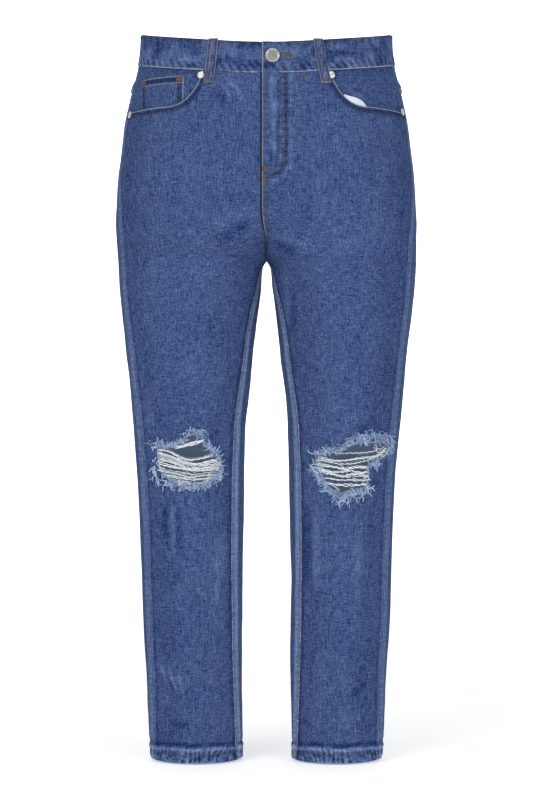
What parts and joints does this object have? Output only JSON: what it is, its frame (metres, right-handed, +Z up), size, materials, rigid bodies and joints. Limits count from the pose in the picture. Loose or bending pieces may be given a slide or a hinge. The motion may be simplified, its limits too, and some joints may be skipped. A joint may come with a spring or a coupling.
{
  "type": "ripped jeans",
  "caption": "Slim straight five-pocket denim jeans, filled out as worn, open at waist and hems, torn at both knees with bared weft threads.",
  "frame": {"origin": "middle of the waist, halfway up the waistband just behind the sides, where the wearer's waist holds the jeans up", "axes": "+Z up along the body, -Y towards the front, +X towards the wearer's left"},
  "size_m": [0.4152, 0.2644, 1.0084],
  "materials": {
    "denim": "washed mid-blue twill with worn seam edges",
    "denim_worn": "the same twill, rubbed paler",
    "bare_weft": "loose undyed weft threads",
    "pocketing": "smooth plain weave",
    "zip_tape": "woven tape",
    "metal": "dull nickel"
  },
  "bodies": {
    "root": {"front_left": "denim", "back_left": "denim", "yoke_left": "denim", "front_right": "denim", "back_right": "denim", "yoke_right": "denim", "waistband": "denim", "belt_loop_front_left": "denim_worn", "belt_loop_front_right": "denim_worn", "belt_loop_side_left": "denim_worn", "belt_loop_side_right": "denim_worn", "belt_loop_back": "denim_worn", "pocket_facing_left": "denim", "back_pocket_left": "denim", "pocket_facing_right": "denim", "back_pocket_right": "denim", "coin_pocket": "denim", "pocket_bag_left": "pocketing", "zip": "zip_tape", "fly_shield": "denim", "knee_threads_right": "bare_weft", "knee_threads_left": "bare_weft", "rivet_front_left": "metal", "rivet_front_right": "metal", "rivet_side_left": "metal", "rivet_side_right": "metal", "waist_button": "metal"}
  },
  "joints": []
}
